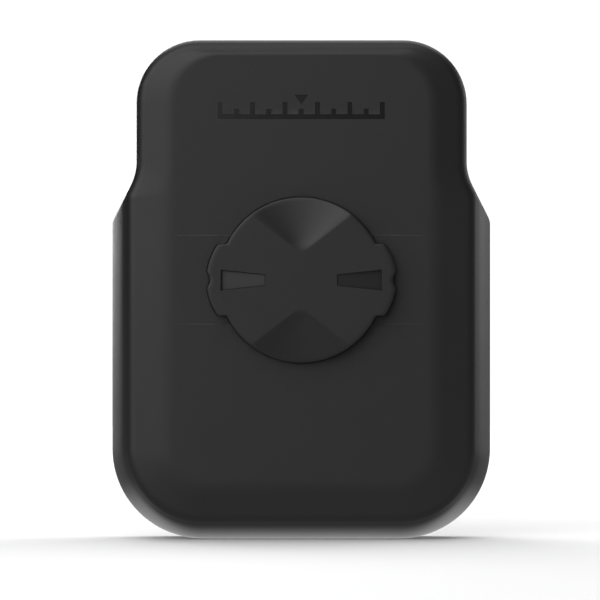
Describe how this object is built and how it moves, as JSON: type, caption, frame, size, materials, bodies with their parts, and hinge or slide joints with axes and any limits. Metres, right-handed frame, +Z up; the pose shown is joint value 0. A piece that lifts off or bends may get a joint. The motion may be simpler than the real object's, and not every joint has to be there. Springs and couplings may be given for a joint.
{
  "type": "portable aviation gps",
  "caption": "Pocket aviation GPS receiver with a display and keys on its front and a quarter-turn mount on its back.",
  "frame": {"origin": "centre of the bounding box at the bottom edge the receiver stands on", "axes": "+Z up along the receiver, +Y out of its display, -Y out of the mount on its back, +X to the right as its back is seen"},
  "size_m": [0.0622, 0.0226, 0.082],
  "materials": {
    "case_plastic": "satin black moulded plastic with a fine spark-eroded texture",
    "mount_plastic": "satin black glass-filled nylon",
    "key_rubber": "soft-touch black keys",
    "seal_rubber": "matt silicone",
    "black_tape": "thin black foam tape",
    "screw_steel": "machined steel",
    "battery_foil": "pouch foil",
    "shield_metal": "tinned sheet",
    "board_laminate": "green solder mask",
    "chip_resin": "moulded resin",
    "antenna_ceramic": "unglazed dielectric ceramic",
    "socket_nylon": "natural nylon",
    "flex_film": "amber polyimide film",
    "window_glass": "polished, black border printed behind",
    "display_film": "dark polariser",
    "light_guide": "frosted clear acrylic"
  },
  "bodies": {
    "case": {"rear_cover": "case_plastic", "front_housing": "case_plastic", "quarter_turn_mount": "mount_plastic", "case_seal": "seal_rubber", "keypad_mat": "seal_rubber", "battery_tape": "black_tape", "window_seal": "black_tape", "mount_screw_1": "screw_steel", "mount_screw_2": "screw_steel", "mount_screw_3": "screw_steel", "mount_screw_4": "screw_steel", "board_screw_1": "screw_steel", "board_screw_2": "screw_steel", "board_screw_3": "screw_steel", "board_screw_4": "screw_steel", "case_screw_1": "screw_steel", "case_screw_2": "screw_steel", "case_screw_3": "screw_steel", "case_screw_4": "screw_steel", "usb_cover_pin": "screw_steel", "usb_connector": "screw_steel", "battery_cell": "battery_foil", "shield_can": "shield_metal", "key_dome_sheet": "shield_metal", "main_board": "board_laminate", "keypad_board": "board_laminate", "gnss_chip": "chip_resin", "processor_chip": "chip_resin", "beeper": "chip_resin", "power_switch": "chip_resin", "gps_antenna": "antenna_ceramic", "battery_socket": "socket_nylon", "ribbon_socket": "socket_nylon", "keypad_connector": "socket_nylon", "battery_lead": "flex_film", "display_ribbon": "flex_film", "display_window": "window_glass", "display_panel": "display_film", "display_backlight": "light_guide", "status_light": "light_guide"},
    "nearest": {"nearest_key": "key_rubber"},
    "menu": {"menu_key": "key_rubber"},
    "direct": {"direct_key": "key_rubber"},
    "page": {"page_key": "key_rubber"},
    "enter": {"enter_key": "key_rubber"},
    "gimbal": {"rocker_seat": "seal_rubber"},
    "rocker": {"rocker_ring": "key_rubber"},
    "power": {"power_button": "key_rubber"},
    "usb_door": {"usb_cover": "key_rubber"}
  },
  "joints": [
    {"name": "nearest_press", "type": "slide", "parent": "case", "child": "nearest", "axis": [0, -1, 0], "range_m": [0, 0.0005], "stiffness_N_per_m": 1200, "springref_m": -0.0004},
    {"name": "menu_press", "type": "slide", "parent": "case", "child": "menu", "axis": [0, -1, 0], "range_m": [0, 0.0005], "stiffness_N_per_m": 1200, "springref_m": -0.0004},
    {"name": "direct_press", "type": "slide", "parent": "case", "child": "direct", "axis": [0, -1, 0], "range_m": [0, 0.0005], "stiffness_N_per_m": 1200, "springref_m": -0.0004},
    {"name": "page_press", "type": "slide", "parent": "case", "child": "page", "axis": [0, -1, 0], "range_m": [0, 0.0005], "stiffness_N_per_m": 1200, "springref_m": -0.0004},
    {"name": "enter_press", "type": "slide", "parent": "case", "child": "enter", "axis": [0, -1, 0], "range_m": [0, 0.0005], "stiffness_N_per_m": 1200, "springref_m": -0.0004},
    {"name": "rocker_nod", "type": "hinge", "parent": "case", "child": "gimbal", "pos_m": [0, 0.0065, 0.0136], "axis": [1, 0, 0], "range_deg": [-3, 3], "stiffness_Nm_per_rad": 0.2},
    {"name": "rocker_roll", "type": "hinge", "parent": "gimbal", "child": "rocker", "pos_m": [0, 0.0065, 0.0136], "axis": [0, 0, 1], "range_deg": [-3, 3], "stiffness_Nm_per_rad": 0.2},
    {"name": "power_press", "type": "slide", "parent": "case", "child": "power", "axis": [0, 0, -1], "range_m": [0, 0.0005], "stiffness_N_per_m": 1200, "springref_m": -0.0004},
    {"name": "usb_door_hinge", "type": "hinge", "parent": "case", "child": "usb_door", "pos_m": [0.03035, 0.00405, 0.0431], "axis": [0, -1, 0], "range_deg": [0, 90]}
  ]
}
